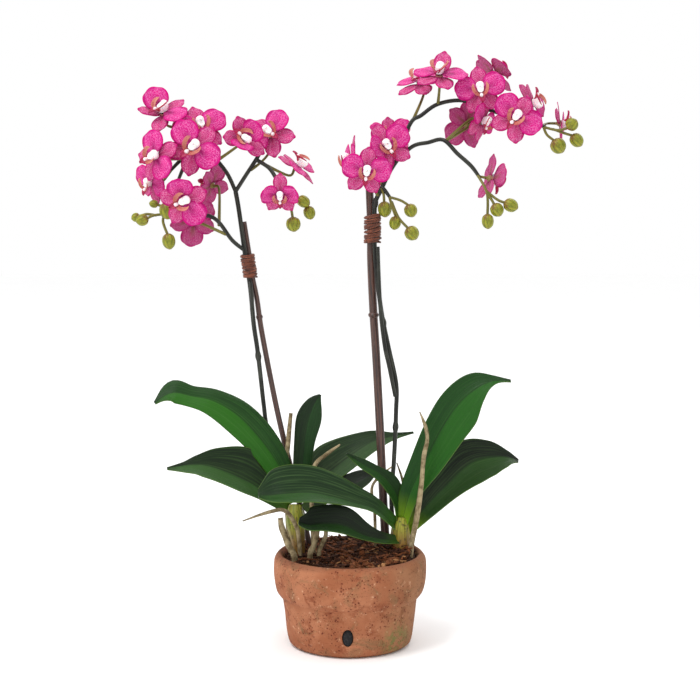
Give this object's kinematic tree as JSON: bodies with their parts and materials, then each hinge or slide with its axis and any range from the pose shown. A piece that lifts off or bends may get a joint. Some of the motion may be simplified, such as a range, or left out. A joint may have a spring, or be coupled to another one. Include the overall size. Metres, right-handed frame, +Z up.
{
  "type": "potted miniature moth orchid",
  "caption": "Miniature moth orchid with arching sprays of small blooms and buds tied to canes, strap leaves and roots, in a low worn clay pot filled with bark.",
  "frame": {"origin": "centre of the pot's underside", "axes": "+Z up; the front of the arrangement looks along -Y; X runs across it, to the viewer's right"},
  "size_m": [0.3999, 0.1386, 0.534],
  "materials": {
    "clay": "unglazed worn clay",
    "plug": "matte black",
    "bark": "loose chipped bark and fibre",
    "sheath": "yellow-green satin",
    "leaf": "striped dark green satin",
    "root": "matte grey-tan",
    "cane": "dark streaked cane, low sheen",
    "raffia": "twisted reddish-brown strands",
    "stem": "near-black green with pale sheen",
    "petal": "magenta with fine pale veins"
  },
  "bodies": {
    "root": {"pot": "clay", "weep_plug": "plug", "substrate": "bark", "left_crown": "sheath", "right_crown": "sheath", "left_leaf_1": "leaf", "left_leaf_2": "leaf", "left_leaf_3": "leaf", "left_leaf_4": "leaf", "left_leaf_5": "leaf", "right_leaf_1": "leaf", "right_leaf_2": "leaf", "right_leaf_3": "leaf", "right_leaf_4": "leaf", "right_leaf_5": "leaf", "root_1": "root", "root_2": "root", "root_3": "root", "root_4": "root", "root_5": "root", "root_6": "root", "root_7": "root", "root_8": "root", "root_9": "root", "left_cane": "cane", "right_cane": "cane", "left_tie": "raffia", "right_tie": "raffia", "left_spray": "stem", "right_spray": "stem", "left_bloom_1": "petal", "left_bloom_2": "petal", "left_bloom_3": "petal", "left_bloom_4": "petal", "left_bloom_5": "petal", "left_bloom_6": "petal", "left_bloom_7": "petal", "left_bloom_8": "petal", "left_bloom_9": "petal", "left_bloom_10": "petal", "left_bloom_11": "petal", "left_bloom_12": "petal", "right_bloom_1": "petal", "right_bloom_2": "petal", "right_bloom_3": "petal", "right_bloom_4": "petal", "right_bloom_5": "petal", "right_bloom_6": "petal", "right_bloom_7": "petal", "right_bloom_8": "petal", "right_bloom_9": "petal", "right_bloom_10": "petal", "right_bloom_11": "petal", "right_bloom_12": "petal", "right_bloom_13": "petal", "right_bloom_14": "petal"}
  },
  "joints": []
}
